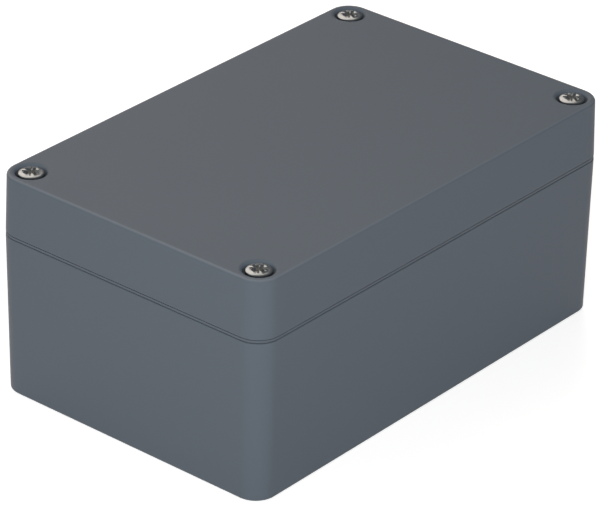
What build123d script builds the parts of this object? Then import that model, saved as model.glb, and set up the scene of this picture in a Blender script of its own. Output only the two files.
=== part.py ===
import os
from math import radians, tan

from build123d import *

# A two-part moulded housing for electronics: a deep base and a shallow lid,
# sealed by a rubber ring and held shut by four captive screws.
# Lengths are in millimetres and angles in degrees. The origin is the middle
# of the underside, X runs along the housing, Y across it and Z up.

# Housing
length = 125.0
width = 80.0
base_height = 40.65
lid_height = 15.4
rim_gap = 0.15
corner_radius = 6.0
base_draft = 0.7
lid_draft = 1.7
bottom_edge_chamfer = 0.4
top_edge_radius = 0.8

# Walls
base_wall = 3.2
floor_thickness = 3.0
roof_thickness = 3.0
cavity_corner_radius = 3.0
floor_chamfer = 0.8

# Moulded line round the lid, just above the joint
line_height = 0.75
line_width = 0.18
line_depth = 0.15

# Tongue on the base, groove and rubber ring in the lid
tongue_width = 1.4
tongue_height = 2.6
tongue_chamfer = 0.25
groove_side_clearance = 0.4
seal_side_clearance = 0.1
seal_thickness = 1.65
seal_rib_width = 1.4

# Lid screws and the places where they sit
screw_inset = 6.0
thread_diameter = 3.0
shank_chamfer = 0.4
thread_engagement = 6.65
head_diameter = 6.0
head_side_height = 1.85
head_crown_height = 0.35
head_crown_diameter = 4.4
drive_span = 3.2
drive_width = 0.85
drive_depth = 1.3
recess_diameter = 7.4
recess_depth = 2.2
recess_edge_chamfer = 0.4
shank_clearance = 0.2
thread_clearance = 0.05

# Rings that keep the screws in the lid
retainer_diameter = 6.0
retainer_thickness = 1.0
retainer_clearance = 0.2
retainer_lift = 0.4
screw_release = 0.35

# Brass threads, hexagonal outside and moulded in
insert_across_flats = 4.5
insert_fit = 0.02
lid_insert_length = 7.0
post_insert_length = 5.0

# Corner columns and the wall-fixing wells beside them
fixing_offset = 8.0
fixing_hole_diameter = 4.4
fixing_well_diameter = 7.6
fixing_floor = 4.0
block_wall = 2.5
pad_wall = 0.9
column_relief_diameter = 3.6
lid_core_diameter = 6.8
lid_core_depth = 9.5

# Posts for a circuit board
post_inset_x = 18.5
post_inset_y = 11.0
post_diameter = 7.0
post_height = 6.0

# Heights worked out from the values above
lid_bottom = base_height + rim_gap
total_height = lid_bottom + lid_height
tongue_top = base_height + tongue_height
groove_top = tongue_top + seal_thickness
roof_underside = total_height - roof_thickness
recess_floor = total_height - recess_depth
screw_travel = thread_engagement + screw_release
shank_length = recess_floor - base_height + thread_engagement
retainer_bottom = lid_bottom + retainer_lift
retainer_pocket_top = retainer_bottom + screw_travel + retainer_thickness + retainer_clearance
post_top = floor_thickness + post_height
head_height = head_side_height + head_crown_height

# Places worked out from the values above
screw_x = length / 2 - screw_inset
screw_y = width / 2 - screw_inset
fixing_y = screw_y - fixing_offset
block_x = screw_x - fixing_well_diameter / 2 - block_wall
block_y = fixing_y - fixing_well_diameter / 2 - block_wall
inner_length = length - 2 * base_wall
inner_width = width - 2 * base_wall
post_pitch_x = length - 2 * post_inset_x
post_pitch_y = width - 2 * post_inset_y
thread_bore = thread_diameter + 2 * thread_clearance

os.makedirs("parts", exist_ok=True)

# Plan outlines that the base, the lid and the seal share

# The base's inside: a rectangle with the four corner blocks taken out
with BuildSketch() as cavity_outline:
    Rectangle(inner_length, inner_width)
    with GridLocations(inner_length, inner_width, 2, 2):
        Rectangle(inner_length - 2 * block_x, inner_width - 2 * block_y, mode=Mode.SUBTRACT)
    fillet(cavity_outline.vertices(), cavity_corner_radius)

# The tongue stands on the wall that surrounds the inside
with BuildSketch() as tongue_outline:
    add(cavity_outline.sketch)
    offset(amount=tongue_width)
    add(cavity_outline.sketch, mode=Mode.SUBTRACT)

# The groove has a clearance on both sides of the tongue
with BuildSketch() as groove_inner_outline:
    add(cavity_outline.sketch)
    offset(amount=-groove_side_clearance)

with BuildSketch() as groove_outline:
    add(cavity_outline.sketch)
    offset(amount=tongue_width + groove_side_clearance)
    add(groove_inner_outline.sketch, mode=Mode.SUBTRACT)

# The rubber ring fills the groove but for a small clearance at its sides
with BuildSketch() as seal_inner_outline:
    add(groove_inner_outline.sketch)
    offset(amount=seal_side_clearance)

with BuildSketch() as seal_outline:
    add(cavity_outline.sketch)
    offset(amount=tongue_width + groove_side_clearance - seal_side_clearance)
    add(seal_inner_outline.sketch, mode=Mode.SUBTRACT)

# The lid's inside is smaller than the base's by the rib that backs the groove
with BuildSketch() as lid_cavity_outline:
    add(groove_inner_outline.sketch)
    offset(amount=-seal_rib_width)

# Base: drafted shell with four corner blocks, board posts and a sealing tongue
with BuildPart() as base:
    with BuildSketch(Plane.XY.offset(base_height)):
        RectangleRounded(length, width, corner_radius)
    extrude(amount=-base_height)
    rim_plane = Plane.XY.offset(base_height)
    draft(base.faces().filter_by(Plane.XY, reverse=True), rim_plane, -base_draft)
    chamfer(base.faces().sort_by(Axis.Z)[0].edges(), bottom_edge_chamfer)

    with BuildSketch(rim_plane):
        add(cavity_outline.sketch)
    extrude(amount=floor_thickness - base_height, mode=Mode.SUBTRACT)
    cavity_walls = base.faces(Select.LAST).filter_by(Plane.XY, reverse=True)
    draft(cavity_walls, rim_plane, base_draft)
    cavity_floor = base.faces().filter_by(Plane.XY).sort_by(Axis.Z)[1]
    chamfer(cavity_floor.edges(), floor_chamfer)

    with BuildSketch(Plane.XY.offset(base_height)):
        add(tongue_outline.sketch)
    extrude(amount=tongue_height)
    chamfer(base.faces().sort_by(Axis.Z)[-1].edges(), tongue_chamfer)

    # The lid lands on a pad round each lid screw
    with BuildSketch(Plane.XY.offset(base_height)):
        with GridLocations(2 * screw_x, 2 * screw_y, 2, 2):
            Circle(retainer_diameter / 2 + retainer_clearance + pad_wall)
    extrude(amount=rim_gap)

    # Screw columns: a six-sided seat for the brass thread, then a relief bore
    with BuildSketch(Plane.XY.offset(lid_bottom)):
        with GridLocations(2 * screw_x, 2 * screw_y, 2, 2):
            RegularPolygon(insert_across_flats / 2 + insert_fit, 6, major_radius=False)
    extrude(amount=-rim_gap - lid_insert_length, mode=Mode.SUBTRACT)
    with Locations(Plane.XY.offset(base_height - lid_insert_length)):
        with GridLocations(2 * screw_x, 2 * screw_y, 2, 2):
            Hole(column_relief_diameter / 2, depth=base_height - lid_insert_length - fixing_floor)

    # Wall-fixing wells open at the rim, outside the seal
    with Locations(Plane.XY.offset(base_height)):
        with GridLocations(2 * screw_x, 2 * fixing_y, 2, 2):
            CounterBoreHole(
                radius=fixing_hole_diameter / 2,
                counter_bore_radius=fixing_well_diameter / 2,
                counter_bore_depth=base_height - fixing_floor,
                depth=base_height,
            )

    # Board posts rise from the floor, each with a seat for a brass thread
    with BuildSketch(Plane.XY.offset(floor_thickness)):
        with GridLocations(post_pitch_x, post_pitch_y, 2, 2):
            Circle(post_diameter / 2)
    extrude(amount=post_height)
    with BuildSketch(Plane.XY.offset(post_top)):
        with GridLocations(post_pitch_x, post_pitch_y, 2, 2):
            RegularPolygon(insert_across_flats / 2 + insert_fit, 6, major_radius=False)
    extrude(amount=-post_insert_length, mode=Mode.SUBTRACT)

base.part.label = "base"
export_step(base.part, "parts/base.step")

# Lid: drafted cap with a deep wall that holds the seal groove
with BuildPart() as lid:
    with BuildSketch(Plane.XY.offset(lid_bottom)):
        RectangleRounded(length, width, corner_radius)
    extrude(amount=lid_height, taper=lid_draft)
    fillet(lid.faces().sort_by(Axis.Z)[-1].edges(), top_edge_radius)

    with BuildSketch(Plane.XY.offset(lid_bottom)):
        add(lid_cavity_outline.sketch)
    extrude(amount=roof_underside - lid_bottom, mode=Mode.SUBTRACT)

    with BuildSketch(Plane.XY.offset(lid_bottom)):
        add(groove_outline.sketch)
    extrude(amount=groove_top - lid_bottom, mode=Mode.SUBTRACT)

    # The fine line lies at one depth below the drafted wall
    line_inset = line_height * tan(radians(lid_draft)) + line_depth
    with BuildSketch(Plane.XY.offset(lid_bottom + line_height - line_width / 2)):
        RectangleRounded(length + 2 * line_depth, width + 2 * line_depth, corner_radius + line_depth)
        RectangleRounded(
            length - 2 * line_inset,
            width - 2 * line_inset,
            corner_radius - line_inset,
            mode=Mode.SUBTRACT,
        )
    extrude(amount=line_width, mode=Mode.SUBTRACT)

    # Screw recesses in the top, with eased mouths
    with Locations(Plane.XY.offset(total_height)):
        with GridLocations(2 * screw_x, 2 * screw_y, 2, 2):
            CounterBoreHole(
                radius=thread_diameter / 2 + shank_clearance,
                counter_bore_radius=recess_diameter / 2,
                counter_bore_depth=recess_depth,
                depth=lid_height,
            )
    lid_top = lid.faces().filter_by(Plane.XY).sort_by(Axis.Z)[-1]
    chamfer([wire.edges()[0] for wire in lid_top.inner_wires()], recess_edge_chamfer)

    # Pockets under the recesses let the screws rise with their rings
    with BuildSketch(Plane.XY.offset(lid_bottom)):
        with GridLocations(2 * screw_x, 2 * screw_y, 2, 2):
            Circle(retainer_diameter / 2 + retainer_clearance)
    extrude(amount=retainer_pocket_top - lid_bottom, mode=Mode.SUBTRACT)

    # Cores beside the screws keep the corners from sinking as they cool
    with BuildSketch(Plane.XY.offset(lid_bottom)):
        with GridLocations(2 * screw_x, 2 * fixing_y, 2, 2):
            Circle(lid_core_diameter / 2)
    extrude(amount=lid_core_depth, mode=Mode.SUBTRACT)

lid.part.label = "lid"
export_step(lid.part, "parts/lid.step")

# Seal: a rubber ring bonded to the groove's end and pressed by the tongue
with BuildPart() as seal:
    with BuildSketch(Plane.XY.offset(tongue_top)):
        add(seal_outline.sketch)
    extrude(amount=seal_thickness)

seal.part.label = "seal"
export_step(seal.part, "parts/seal.step")

# Lid screw: pan head with a cross recess, its seat at Z = 0
with BuildPart() as lid_screw:
    with BuildSketch(Plane.XZ):
        with BuildLine():
            Polyline(
                (0, head_height),
                (0, -shank_length),
                (thread_diameter / 2 - shank_chamfer, -shank_length),
                (thread_diameter / 2, -shank_length + shank_chamfer),
                (thread_diameter / 2, 0),
                (head_diameter / 2, 0),
                (head_diameter / 2, head_side_height),
                (head_crown_diameter / 2, head_height),
                close=True,
            )
        make_face()
    revolve(axis=Axis.Z)
    with BuildSketch(Plane.XY.offset(head_height)):
        Rectangle(drive_span, drive_width)
        Rectangle(drive_width, drive_span)
    extrude(amount=-drive_depth, mode=Mode.SUBTRACT)

# Retaining ring: its underside at Z = 0
with BuildPart() as retainer:
    with BuildSketch():
        Circle(retainer_diameter / 2)
        Circle(thread_bore / 2, mode=Mode.SUBTRACT)
    extrude(amount=retainer_thickness)


# Brass thread: a hexagonal sleeve that can't turn, its mouth at Z = 0
def make_insert(insert_length):
    with BuildPart() as insert:
        with BuildSketch():
            RegularPolygon(insert_across_flats / 2, 6, major_radius=False)
            Circle(thread_bore / 2, mode=Mode.SUBTRACT)
        extrude(amount=-insert_length)
    return insert.part


# The screws, rings and brass threads in their places
screw_places = GridLocations(2 * screw_x, 2 * screw_y, 2, 2).local_locations
post_places = GridLocations(post_pitch_x, post_pitch_y, 2, 2).local_locations
placed_pieces = (
    ("lid_screw", lid_screw.part, recess_floor, screw_places),
    ("screw_retainer", retainer.part, retainer_bottom, screw_places),
    ("lid_insert", make_insert(lid_insert_length), base_height, screw_places),
    ("post_insert", make_insert(post_insert_length), post_top, post_places),
)
for name, piece, seat_height, places in placed_pieces:
    for number, place in enumerate(places, start=1):
        placed = piece.moved(place * Location((0, 0, seat_height)))
        placed.label = f"{name}_{number}"
        export_step(placed, f"parts/{placed.label}.step")
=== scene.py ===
import math

import bmesh
import bpy
from mathutils import Matrix, Vector


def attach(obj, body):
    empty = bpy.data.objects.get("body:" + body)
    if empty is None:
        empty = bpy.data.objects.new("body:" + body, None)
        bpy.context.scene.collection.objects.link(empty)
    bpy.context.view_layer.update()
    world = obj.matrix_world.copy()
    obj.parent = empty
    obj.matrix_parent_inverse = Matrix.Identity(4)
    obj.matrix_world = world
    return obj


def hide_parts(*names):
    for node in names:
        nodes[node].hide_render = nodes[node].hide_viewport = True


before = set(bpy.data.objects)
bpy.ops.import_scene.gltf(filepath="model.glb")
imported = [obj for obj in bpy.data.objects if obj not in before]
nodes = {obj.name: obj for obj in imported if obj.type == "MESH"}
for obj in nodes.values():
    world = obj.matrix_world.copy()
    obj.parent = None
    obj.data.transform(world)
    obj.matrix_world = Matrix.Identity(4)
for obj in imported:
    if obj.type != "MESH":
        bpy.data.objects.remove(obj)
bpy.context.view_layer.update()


# Base
# The deep lower half of the housing, one injection moulding in blue-grey plastic with screw columns,
# wall-fixing wells and board posts. The mould's fine spark texture gives it a semi-matt surface.

mm = 0.001
housing_colour = (0.0985, 0.1195, 0.147)
housing_dark = (0.0925, 0.1125, 0.1385)
# Painted highlight: a lighter colour and lower roughness on the lid's rounded top edges
housing_highlight = (0.150, 0.172, 0.200)
housing_roughness = 0.52
highlight_roughness = 0.36
most_highlight_tilt = 55
highlight_spread = 33


class Signal:
    """A shader value. Arithmetic on it adds the Math nodes."""

    def __init__(self, finish, socket):
        self.finish = finish
        self.socket = socket

    def math(self, operation, first, second):
        return self.finish.node("ShaderNodeMath", {"operation": operation}, {0: first, 1: second})

    def __add__(self, other):
        return self.math("ADD", self, other)

    def __radd__(self, other):
        return self.math("ADD", other, self)

    def __sub__(self, other):
        return self.math("SUBTRACT", self, other)

    def __rsub__(self, other):
        return self.math("SUBTRACT", other, self)

    def __mul__(self, other):
        return self.math("MULTIPLY", self, other)


class Shading:
    """A node tree whose output shader takes signals on its sockets."""

    def __init__(self, tree, shader):
        self.tree = tree
        self.shader = tree.nodes[shader]

    def node(self, kind, settings, inputs, output=0):
        """Adds a node and returns one of its outputs. Signals are linked to its inputs, other values are set."""
        made = self.tree.nodes.new(kind)
        for setting, value in settings.items():
            setattr(made, setting, value)
        for socket, value in inputs.items():
            if isinstance(value, Signal):
                self.tree.links.new(value.socket, made.inputs[socket])
            else:
                made.inputs[socket].default_value = value
        return Signal(self, made.outputs[output])

    def feed(self, socket, signal):
        self.tree.links.new(signal.socket, self.shader.inputs[socket])


class Finish(Shading):
    """A procedural material: constants stand on the shader's own sockets, signals are linked to them."""

    def __init__(self, name, constants):
        self.material = bpy.data.materials.new(name)
        self.material.use_nodes = True
        super().__init__(self.material.node_tree, "Principled BSDF")
        for socket, value in constants.items():
            self.shader.inputs[socket].default_value = value

    def place(self):
        return self.node("ShaderNodeTexCoord", {}, {}, "Object")

    def noise(self, size, detail):
        """Noise whose cells are about size metres wide."""
        inputs = {"Scale": 1 / size, "Detail": detail, "Vector": self.place()}
        return self.node("ShaderNodeTexNoise", {}, inputs)

    def blend(self, mask, first, second):
        """A colour between the first, at 0, and the second, at 1. Either may be a signal."""
        first, second = (c if isinstance(c, Signal) else (*c, 1) for c in (first, second))
        return self.node("ShaderNodeMix", {"data_type": "RGBA"}, {0: mask, 6: first, 7: second}, 2)

    def bump(self, height, distance, strength):
        inputs = {"Height": height, "Distance": distance, "Strength": strength}
        return self.node("ShaderNodeBump", {}, inputs)

    def surface(self, signal):
        self.tree.links.new(signal.socket, self.tree.nodes["Material Output"].inputs["Surface"])


def dress(piece, finish):
    """Gives the whole piece one finish."""
    piece.data.materials.clear()
    piece.data.materials.append(finish.material)


moulded_plastic = Finish("moulded_plastic", {"Metallic": 0.0, "IOR": 1.5, "Specular IOR Level": 0.18})
cloud = moulded_plastic.noise(14 * mm, 3.0)
grain = moulded_plastic.noise(0.22 * mm, 2.0)
# Painted highlight: the marked top edges of the lid are lighter and smoother
edge_highlight = moulded_plastic.node("ShaderNodeAttribute", {"attribute_name": "edge_highlight"}, {}, "Fac")
skin = moulded_plastic.blend(cloud * 0.5 + grain * 0.5, housing_dark, housing_colour)
moulded_plastic.feed("Base Color", moulded_plastic.blend(edge_highlight, skin, housing_highlight))
matt = housing_roughness - 0.04 + cloud * 0.05 + grain * 0.03
moulded_plastic.feed("Roughness", matt - edge_highlight * (housing_roughness - highlight_roughness))
moulded_plastic.feed("Normal", moulded_plastic.bump(grain, 0.012 * mm, 0.35))


def merged_copy(node, reshape=None):
    """A copy of a CAD node's mesh with its loose triangles joined up and its flat faces made whole."""
    shell = bmesh.new()
    shell.from_mesh(nodes[node].data)
    bmesh.ops.remove_doubles(shell, verts=shell.verts, dist=0.002 * mm)
    if reshape:
        for vert in shell.verts:
            reshape(vert.co)
    bmesh.ops.dissolve_limit(shell, angle_limit=math.radians(0.4), verts=shell.verts, edges=shell.edges)
    return shell


def level_edges(shell, height, belongs):
    """The edges that lie level at one height and whose ends both belong to the wanted outline."""
    return [
        edge
        for edge in shell.edges
        if all(abs(vert.co.z - height) < 0.02 * mm and belongs(vert.co) for vert in edge.verts)
    ]


def ease(shell, edges, width, segments):
    """Rounds the edges, as the polished corners of a mould do."""
    bmesh.ops.bevel(
        shell,
        geom=edges,
        offset=width,
        offset_type="OFFSET",
        segments=segments,
        profile=0.5,
        affect="EDGES",
        material=-1,
    )


def paint_edge_highlight(shell, belongs):
    """Marks the rounded edges for a painted highlight, lighter and smoother than the rest: most where the
    surface faces half upwards.
    """
    shell.normal_update()
    highlight_layer = shell.verts.layers.float.new("edge_highlight")
    for vert in shell.verts:
        if belongs(vert.co):
            tilt = math.degrees(math.asin(max(-1, min(1, vert.normal.z))))
            vert[highlight_layer] = max(0, 1 - abs(tilt - most_highlight_tilt) / highlight_spread)


def finished(name, shell, crease=32):
    """Makes the mesh an object, smooth but for its creases."""
    for face in shell.faces:
        face.smooth = True
    for edge in shell.edges:
        edge.smooth = edge.calc_face_angle(0) < math.radians(crease)
    mesh = bpy.data.meshes.new(name)
    shell.to_mesh(mesh)
    shell.free()
    piece = bpy.data.objects.new(name, mesh)
    bpy.context.scene.collection.objects.link(piece)
    even = piece.modifiers.new("even shading", "WEIGHTED_NORMAL")
    even.keep_sharp = True
    return piece


def stands_for(piece, node, body):
    """Puts the piece in the place of its CAD node."""
    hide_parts(node)
    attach(piece, body)


def round_centres(x, y):
    """The four places at plus and minus x and y."""
    return [Vector((a * x, b * y)) for a, b in ((-1, -1), (-1, 1), (1, -1), (1, 1))]


def on_circles(centres, radius):
    return lambda point: any(abs((point.xy - centre).length - radius) < 0.03 * mm for centre in centres)


def depth_in_wall(point):
    """How far a point lies inside the housing's plan, a rectangle with rounded corners."""
    x, y = abs(point.x) - half_length + corner_radius, abs(point.y) - half_width + corner_radius
    return corner_radius - math.hypot(max(x, 0), max(y, 0)) - min(max(x, y), 0)


def on_outside(point):
    return depth_in_wall(point) < outer_band


def push_in(point, depth):
    """Moves a point of the outer wall inwards, square to the wall."""
    x, y = abs(point.x) - half_length + corner_radius, abs(point.y) - half_width + corner_radius
    inwards = Vector((math.copysign(max(x, 0), -point.x), math.copysign(max(y, 0), -point.y)))
    point.xy += inwards.normalized() * depth


half_length = 62.5 * mm
half_width = 40.0 * mm
corner_radius = 6.0 * mm
outer_band = 0.95 * mm
base_height = 40.65 * mm
foot_height = 0.4 * mm
well_radius = 3.8 * mm
post_radius = 3.5 * mm
post_top = 9.0 * mm
screw_centres = round_centres(56.5 * mm, 34 * mm)
well_centres = round_centres(56.5 * mm, 26 * mm)
post_centres = round_centres(44 * mm, 29 * mm)

# A well's mouth stands only 0.11 mm from a screw's pad, so its edge is eased by less than that
rim_ease = 0.18 * mm
foot_ease = 0.15 * mm
well_ease = 0.08 * mm
post_ease = 0.2 * mm

base = merged_copy("base")
ease(base, level_edges(base, base_height, on_outside), rim_ease, 3)
ease(base, level_edges(base, 0, on_outside) + level_edges(base, foot_height, on_outside), foot_ease, 2)
ease(base, level_edges(base, base_height, on_circles(well_centres, well_radius)), well_ease, 2)
ease(base, level_edges(base, post_top, on_circles(post_centres, post_radius)), post_ease, 2)
base = finished("moulded_base", base)
dress(base, moulded_plastic)
stands_for(base, "base", "base")


# Brass threads
# Hexagonal sleeves turned from brass bar, moulded into the screw columns and the board posts so that they
# can't turn. The lid screws and the customer's board screws run in their M3 threads.

brass = Finish("turned_brass", {"Metallic": 1.0})
turning = brass.node(
    "ShaderNodeTexWave",
    {"wave_type": "RINGS", "rings_direction": "Z"},
    {"Vector": brass.place(), "Scale": 1200.0, "Distortion": 2.0, "Detail": 2.0, "Detail Scale": 3.0},
)
tarnish = brass.noise(1.1 * mm, 4.0)
brass.feed("Base Color", brass.blend(tarnish, (0.83, 0.62, 0.30), (0.66, 0.46, 0.20)))
brass.feed("Roughness", 0.22 + tarnish * 0.16)
brass.feed("Normal", brass.bump(turning, 0.004 * mm, 0.3))
across_flats = 4.5 * mm
sleeve_ease = 0.12 * mm
brass_bore = 1.72 * mm
countersink_radius = 1.96 * mm
countersink_depth = 0.25 * mm
thread_crest = 1.54 * mm
pitch = 0.5 * mm


def turned(profile, steps, closed=False):
    """A blank turned on the Z axis from a profile of (radius, height) points."""
    blank = bmesh.new()
    points = [blank.verts.new((radius, 0, height)) for radius, height in profile]
    pairs = list(zip(points, points[1:])) + ([(points[-1], points[0])] if closed else [])
    edges = [blank.edges.new(pair) for pair in pairs]
    bmesh.ops.spin(
        blank,
        geom=points + edges,
        axis=(0, 0, 1),
        cent=(0, 0, 0),
        angle=2 * math.pi,
        steps=steps,
        use_merge=True,
    )
    bmesh.ops.remove_doubles(blank, verts=blank.verts, dist=0.001 * mm)
    return blank


def cut_thread(blank, section, low, turns, steps_a_turn=24):
    """Sweeps a ridge, a closed section of (radius, height) points, up a helix and closes its ends."""
    points = [blank.verts.new((radius, 0, low + height)) for radius, height in section]
    ring = [blank.edges.new(pair) for pair in zip(points, points[1:] + points[:1])]
    swept = bmesh.ops.spin(
        blank,
        geom=points + ring,
        axis=(0, 0, 1),
        cent=(0, 0, 0),
        dvec=(0, 0, pitch / steps_a_turn),
        angle=2 * math.pi * turns,
        steps=steps_a_turn * turns,
    )
    last = [part for part in swept["geom_last"] if isinstance(part, bmesh.types.BMEdge)]
    bmesh.ops.contextual_create(blank, geom=ring)
    bmesh.ops.contextual_create(blank, geom=last)


def brass_thread(name, mouth, sleeve_length):
    """A hexagonal sleeve with its mouth at the given point, countersunk and threaded."""
    flat = across_flats / 2
    sleeve = turned(
        [
            (countersink_radius, 0),
            (flat - sleeve_ease, 0),
            (flat, -sleeve_ease),
            (flat, -sleeve_length + sleeve_ease),
            (flat - sleeve_ease, -sleeve_length),
            (countersink_radius, -sleeve_length),
            (brass_bore, -sleeve_length + countersink_depth),
            (brass_bore, -countersink_depth),
        ],
        48,
        closed=True,
    )
    for vert in sleeve.verts:
        # The round blank's outside is drawn out to six flats
        if vert.co.xy.length > flat - sleeve_ease - 0.01 * mm:
            angle = math.atan2(vert.co.y, vert.co.x)
            off_flat = (angle % (math.pi / 3)) - math.pi / 6
            vert.co.xy *= 1 / math.cos(off_flat)
    root = brass_bore + 0.02 * mm
    ridge = [(root, 0), (thread_crest, 0.16 * mm), (thread_crest, 0.22 * mm), (root, 0.38 * mm)]
    cut_thread(sleeve, ridge, -sleeve_length + 0.2 * mm, int((sleeve_length - 0.75 * mm) / pitch))
    bmesh.ops.recalc_face_normals(sleeve, faces=sleeve.faces)
    bmesh.ops.translate(sleeve, verts=sleeve.verts, vec=mouth)
    return finished(name, sleeve)


for kind, centres, height, sleeve_length in (
    ("lid", screw_centres, base_height, 7 * mm),
    ("post", post_centres, post_top, 5 * mm),
):
    for number, centre in enumerate(centres, start=1):
        piece = brass_thread(f"{kind}_brass_thread_{number}", (*centre, height), sleeve_length)
        dress(piece, brass)
        stands_for(piece, f"{kind}_insert_{number}", "base")


# Seal
# A soft black rubber ring, bonded to the bottom of the lid's groove. The base's tongue presses into it
# when the lid is screwed down.

rubber = Finish("seal_rubber", {"Metallic": 0.0, "IOR": 1.5})
bloom = rubber.noise(2.5 * mm, 5.0)
rubber.feed("Base Color", rubber.blend(bloom, (0.014, 0.014, 0.015), (0.030, 0.030, 0.031)))
rubber.feed("Roughness", 0.62 + bloom * 0.2)
rubber.feed("Normal", rubber.bump(bloom, 0.02 * mm, 0.4))
seal = merged_copy("seal")
ease(seal, [edge for edge in seal.edges if edge.calc_face_angle(0) > math.radians(60)], 0.2 * mm, 2)
seal = finished("rubber_seal", seal)
dress(seal, rubber)
stands_for(seal, "seal", "lid")


# Lid
# The shallow upper half, moulded like the base. Its four screw recesses have soft rounded mouths, and a
# fine line runs round its sides just above the joint.

recess_radius = 3.7 * mm
lid_bottom = 40.8 * mm
lid_top = 56.2 * mm
mouth_slope = 0.4 * mm
recess_draw_in = 0.08 * mm
mouth_flare = 0.2 * mm
mouth_ease = 0.3 * mm
joint_ease = 0.12 * mm
highlight_drop = 0.7 * mm
highlight_width = 1.2 * mm
line_low = 41.46 * mm
line_high = 41.64 * mm
line_extra_depth = 0.12 * mm
lip_tilt = 0.16


def shape_recess(point):
    """A screw recess closes in a little towards its head, and its mouth opens out softly."""
    for centre in screw_centres:
        from_screw = point.xy - centre
        if point.z > lid_top - 2.3 * mm and abs(from_screw.length - recess_radius) < 0.05 * mm:
            point.xy -= from_screw.normalized() * recess_draw_in
        elif point.z > lid_top - 0.01 * mm and abs(from_screw.length - recess_radius - mouth_slope) < 0.05 * mm:
            point.xy += from_screw.normalized() * mouth_flare


lid = merged_copy("lid", shape_recess)
for vert in lid.verts:
    # The fine line is deepened, and the lip below it leans in towards the joint
    in_line = line_low - 0.01 * mm < vert.co.z < line_high + 0.01 * mm
    if in_line and 0.1 * mm < depth_in_wall(vert.co) < 0.6 * mm:
        push_in(vert.co, line_extra_depth)
    elif vert.co.z < line_low - 0.01 * mm and depth_in_wall(vert.co) < 0.6 * mm:
        push_in(vert.co, (line_low - vert.co.z) * lip_tilt)
mouths = level_edges(lid, lid_top, on_circles(screw_centres, recess_radius + mouth_slope + mouth_flare))
mouths += level_edges(lid, lid_top - mouth_slope, on_circles(screw_centres, recess_radius - recess_draw_in))
ease(lid, mouths, mouth_ease, 3)
ease(lid, level_edges(lid, lid_bottom, on_outside), joint_ease, 2)
# Painted highlight along the lid's rounded top edges
paint_edge_highlight(lid, lambda point: point.z > lid_top - highlight_drop and depth_in_wall(point) < highlight_width)
lid = finished("moulded_lid", lid)
dress(lid, moulded_plastic)
stands_for(lid, "lid", "lid")


# Retaining rings
# Small moulded nylon rings that grip the screws' shanks, so that a loosened screw stays in the lid. Each
# slides in a round pocket in the lid's underside.

nylon = Finish("ring_nylon", {"Metallic": 0.0, "IOR": 1.53, "Subsurface Weight": 0.15})
cloudy = nylon.noise(1.4 * mm, 3.0)
nylon.feed("Base Color", nylon.blend(cloudy, (0.70, 0.69, 0.63), (0.76, 0.75, 0.70)))
nylon.feed("Roughness", 0.38 + cloudy * 0.12)
nylon.feed("Normal", nylon.bump(cloudy, 0.01 * mm, 0.3))
ring_outside = 3.0 * mm
ring_bore = 1.55 * mm
ring_bottom = 41.2 * mm
ring_thickness = 1.0 * mm
ring_ease = 0.15 * mm
ring_bore_ease = 0.12 * mm

for number, centre in enumerate(screw_centres, start=1):
    ring = turned(
        [
            (ring_bore + ring_bore_ease, 0),
            (ring_outside - ring_ease, 0),
            (ring_outside, ring_ease),
            (ring_outside, ring_thickness - ring_ease),
            (ring_outside - ring_ease, ring_thickness),
            (ring_bore + ring_bore_ease, ring_thickness),
            (ring_bore, ring_thickness - ring_bore_ease),
            (ring_bore, ring_bore_ease),
        ],
        64,
        closed=True,
    )
    bmesh.ops.recalc_face_normals(ring, faces=ring.faces)
    bmesh.ops.translate(ring, verts=ring.verts, vec=(*centre, ring_bottom))
    piece = finished(f"nylon_ring_{number}", ring)
    dress(piece, nylon)
    stands_for(piece, f"screw_retainer_{number}", f"retainer_{number}")


# Lid screws
# M3 machine screws of plated steel, with low pan heads and cross recesses, cold-headed and thread-rolled.
# They run through the lid into the brass threads of the base.

head_radius = 3.03 * mm
head_height = 2.42 * mm
dome_height = 0.5 * mm
shank_radius = 1.5 * mm
root_radius = 1.22 * mm
shank_length = 20.0 * mm
threaded_length = 9.0 * mm
screw_seat = 54.0 * mm
recess_turn = math.radians(-10)
tick_narrowing = 0.3

steel = Finish("plated_steel", {"Metallic": 1.0})
scuff = steel.noise(0.9 * mm, 5.0)
polish = steel.noise(0.12 * mm, 2.0)
# Painted shade: the drive recess turns dark brown, less metallic and rougher the deeper it goes
painted_recess_shade = steel.node("ShaderNodeAttribute", {"attribute_name": "recess_shade"}, {}, "Fac")
plated = steel.blend(scuff, (0.50, 0.525, 0.535), (0.38, 0.40, 0.41))
steel.feed("Base Color", steel.blend(painted_recess_shade, plated, (0.15, 0.115, 0.06)))
steel.feed("Metallic", 1.0 - painted_recess_shade * 0.85)
steel.feed("Roughness", 0.22 + scuff * 0.16 + polish * 0.06 + painted_recess_shade * 0.2)
steel.feed("Normal", steel.bump(polish, 0.006 * mm, 0.35))


def dome(radius):
    """The height of the head's domed top at a distance from its middle."""
    return head_height - dome_height * (radius / head_radius) ** 2


def cross_reach(angle, arm, half_slot):
    """How far a cross with arms along X and Y reaches in one direction."""
    across, along = abs(math.cos(angle)) + 1e-9, abs(math.sin(angle)) + 1e-9
    return max(min(arm / across, half_slot / along), min(arm / along, half_slot / across))


def recess_reach(angle, arm, half_slot, tick):
    """The drive recess in one direction: a cross, and four narrower ticks between its arms."""
    between_arms = cross_reach(angle + math.pi / 4, tick, tick_narrowing * half_slot)
    return max(cross_reach(angle, arm, half_slot), between_arms)


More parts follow.
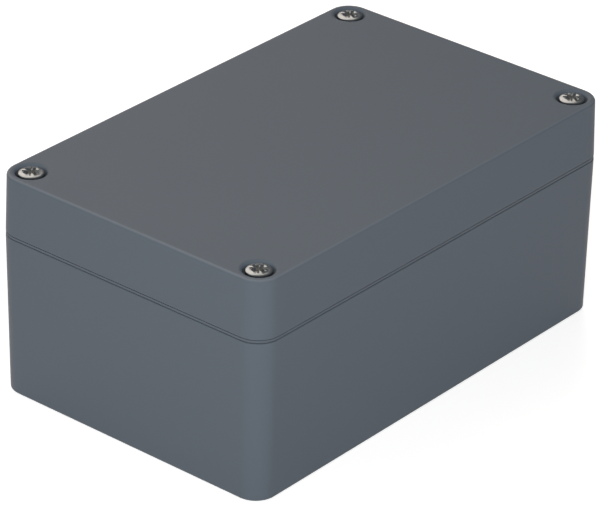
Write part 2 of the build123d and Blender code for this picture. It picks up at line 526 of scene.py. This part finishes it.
def lid_screw(name, seat):
    """A pan-head screw with its seat at the given point, headed and thread-rolled from one blank."""
    # The recess from its raised lips to its floor: arm length, half width, ticks' length and depth
    recess_rings = [
        (2.00 * mm, 0.70 * mm, 2.12 * mm, 0.0),
        (1.92 * mm, 0.62 * mm, 2.06 * mm, -0.07 * mm),
        (1.66 * mm, 0.42 * mm, 1.86 * mm, 0.16 * mm),
        (1.44 * mm, 0.38 * mm, 1.00 * mm, 0.45 * mm),
        (1.10 * mm, 0.36 * mm, 0.55 * mm, 1.00 * mm),
        (0.80 * mm, 0.32 * mm, 0.45 * mm, 1.50 * mm),
    ]
    profile = [
        (0, -shank_length),
        (root_radius - 0.25 * mm, -shank_length),
        (root_radius, -shank_length + 0.25 * mm),
        (root_radius, -shank_length + threaded_length),
        (shank_radius, -shank_length + threaded_length + 0.3 * mm),
        (shank_radius, -0.15 * mm),
        (shank_radius + 0.15 * mm, 0),
        (head_radius - 0.15 * mm, 0),
        (head_radius - 0.04 * mm, 0.05 * mm),
        (head_radius, 0.16 * mm),
        (head_radius, 1.70 * mm),
        (head_radius - 0.04 * mm, 1.81 * mm),
        (head_radius - 0.13 * mm, 1.91 * mm),
        (head_radius - 0.28 * mm, 1.985 * mm),
        (head_radius - 0.50 * mm, dome(head_radius - 0.50 * mm)),
        *((tick, head_height - depth) for arm, half_slot, tick, depth in recess_rings),
        (0, head_height - 1.62 * mm),
    ]
    screw = turned(profile, 120)
    recess_shade = screw.verts.layers.float.new("recess_shade")
    # Painted shade mask: it grows with the recess's depth and is full at its floor
    for vert in screw.verts:
        radius = vert.co.xy.length
        if radius < 0.01 * mm and vert.co.z > 0:
            vert[recess_shade] = 1.0
        for arm, half_slot, tick, depth in recess_rings:
            if abs(radius - tick) < 1e-7 and abs(vert.co.z - head_height + depth) < 1e-7:
                angle = math.atan2(vert.co.y, vert.co.x) - recess_turn
                vert.co.xy *= recess_reach(angle, arm, half_slot, tick) / tick
                if depth < 0.3 * mm:
                    vert.co.z = dome(vert.co.xy.length) - depth
                vert[recess_shade] = min(1, max(0, depth / mm - 0.4))
                break
    root = root_radius - 0.02 * mm
    ridge = [(root, 0), (shank_radius, 0.19 * mm), (shank_radius, 0.25 * mm), (root, 0.44 * mm)]
    cut_thread(screw, ridge, -shank_length + 0.3 * mm, int((threaded_length - 1.0 * mm) / pitch))
    bmesh.ops.recalc_face_normals(screw, faces=screw.faces)
    bmesh.ops.translate(screw, verts=screw.verts, vec=seat)
    return finished(name, screw, 38)


for number, centre in enumerate(screw_centres, start=1):
    piece = lid_screw(f"pan_head_screw_{number}", (*centre, screw_seat))
    dress(piece, steel)
    stands_for(piece, f"lid_screw_{number}", f"screw_{number}")


# Floor
# A plain sheet of white paper under the housing, matt, so that only a soft shadow shows on it. It glows only
# where it is seen, mirrored or looked at through something clear, so that it reads white.

floor_glow = 0.52

sweep = bmesh.new()
bmesh.ops.create_grid(sweep, x_segments=1, y_segments=1, size=60.0)
bmesh.ops.translate(sweep, verts=sweep.verts, vec=(0, 0, -0.02 * mm))
floor_mesh = bpy.data.meshes.new("studio_floor")
sweep.to_mesh(floor_mesh)
sweep.free()
floor = bpy.data.objects.new("studio_floor", floor_mesh)
bpy.context.scene.collection.objects.link(floor)

paper = Finish("floor_paper", {"Base Color": (0.8, 0.8, 0.8, 1), "Roughness": 0.9, "Specular IOR Level": 0.2})
camera_ray = paper.node("ShaderNodeLightPath", {}, {}, "Is Camera Ray")
glossy_ray = paper.node("ShaderNodeLightPath", {}, {}, "Is Glossy Ray")
clear_ray = paper.node("ShaderNodeLightPath", {}, {}, "Is Transmission Ray")
glow = paper.node("ShaderNodeEmission", {}, {"Color": (1, 1, 1, 1), "Strength": floor_glow})
plain_paper = Signal(paper, paper.shader.outputs[0])
white_paper = paper.node("ShaderNodeAddShader", {}, {0: plain_paper, 1: glow})
seen = camera_ray + glossy_ray + clear_ray
paper.surface(paper.node("ShaderNodeMixShader", {}, {0: seen, 1: plain_paper, 2: white_paper}))
dress(floor, paper)


# Light
# Soft lamps in a dim room: the key over the camera and one low behind, which don't mirror in metal, a small one
# on the left and a large warm one high up behind the housing.

room_light = 0.11
room_sheen = 0.01

world = bpy.data.worlds.new("studio")
bpy.context.scene.world = world
world.use_nodes = True
room = Shading(world.node_tree, "Background")
room.shader.inputs["Color"].default_value = (0.85, 0.93, 1.0, 1)
mirrored = room.node("ShaderNodeLightPath", {}, {}, "Is Glossy Ray")
room.feed("Strength", mirrored * room_sheen + room_light)


def soft_lamp(name, azimuth, elevation, distance, size, power, colour, mirrors=True):
    """A square lamp that faces the housing from the given direction, in degrees, around Z from -Y."""
    turn, lift = math.radians(azimuth), math.radians(elevation)
    away = Vector((math.sin(turn) * math.cos(lift), -math.cos(turn) * math.cos(lift), math.sin(lift)))
    data = bpy.data.lights.new(name, "AREA")
    data.shape = "SQUARE"
    data.size = size
    data.energy = power
    data.color = colour
    lamp = bpy.data.objects.new(name, data)
    lamp.visible_glossy = mirrors
    bpy.context.scene.collection.objects.link(lamp)
    lamp.location = Vector((0, 0, 0.03)) + away * distance
    lamp.rotation_mode = "QUATERNION"
    lamp.rotation_quaternion = away.to_track_quat("Z", "Y")


soft_lamp("key_lamp", -52, 33, 1.0, 0.35, 8.5, (1.0, 0.985, 0.96), mirrors=False)
soft_lamp("left_lamp", -140, 35, 1.0, 0.25, 0.16, (1.0, 0.97, 0.94))
soft_lamp("high_lamp", 158, 44, 1.0, 1.2, 6.45, (1.0, 0.885, 0.79))
soft_lamp("back_lamp", 128, 8, 2.0, 0.5, 16.0, (1.0, 0.98, 0.96), mirrors=False)


# Camera
# A long lens looks down on the front corner from the left, as in the photograph. Its place and turn were
# fitted to the housing's outline there.

view_azimuth = math.radians(-50.329)
view_elevation = math.radians(28.573)
view_roll = math.radians(1.190)
view_distance = 934.67 * mm
view_target = Vector((-5.64 * mm, -3.31 * mm, 28.1 * mm))

back = Vector((
    math.sin(view_azimuth) * math.cos(view_elevation),
    -math.cos(view_azimuth) * math.cos(view_elevation),
    math.sin(view_elevation),
))
camera_data = bpy.data.cameras.new("camera")
camera_data.sensor_width = 36
camera_data.lens = 4013.9 * 36 / 600
camera_data.clip_start = 0.05
camera_data.clip_end = 20
camera = bpy.data.objects.new("camera", camera_data)
bpy.context.scene.collection.objects.link(camera)
stand = Matrix.Translation(view_target + back * view_distance)
aim = back.to_track_quat("Z", "Y").to_matrix().to_4x4()
camera.matrix_world = stand @ aim @ Matrix.Rotation(view_roll, 4, "Z")
bpy.context.scene.camera = camera
bpy.context.scene.view_settings.view_transform = "Standard"
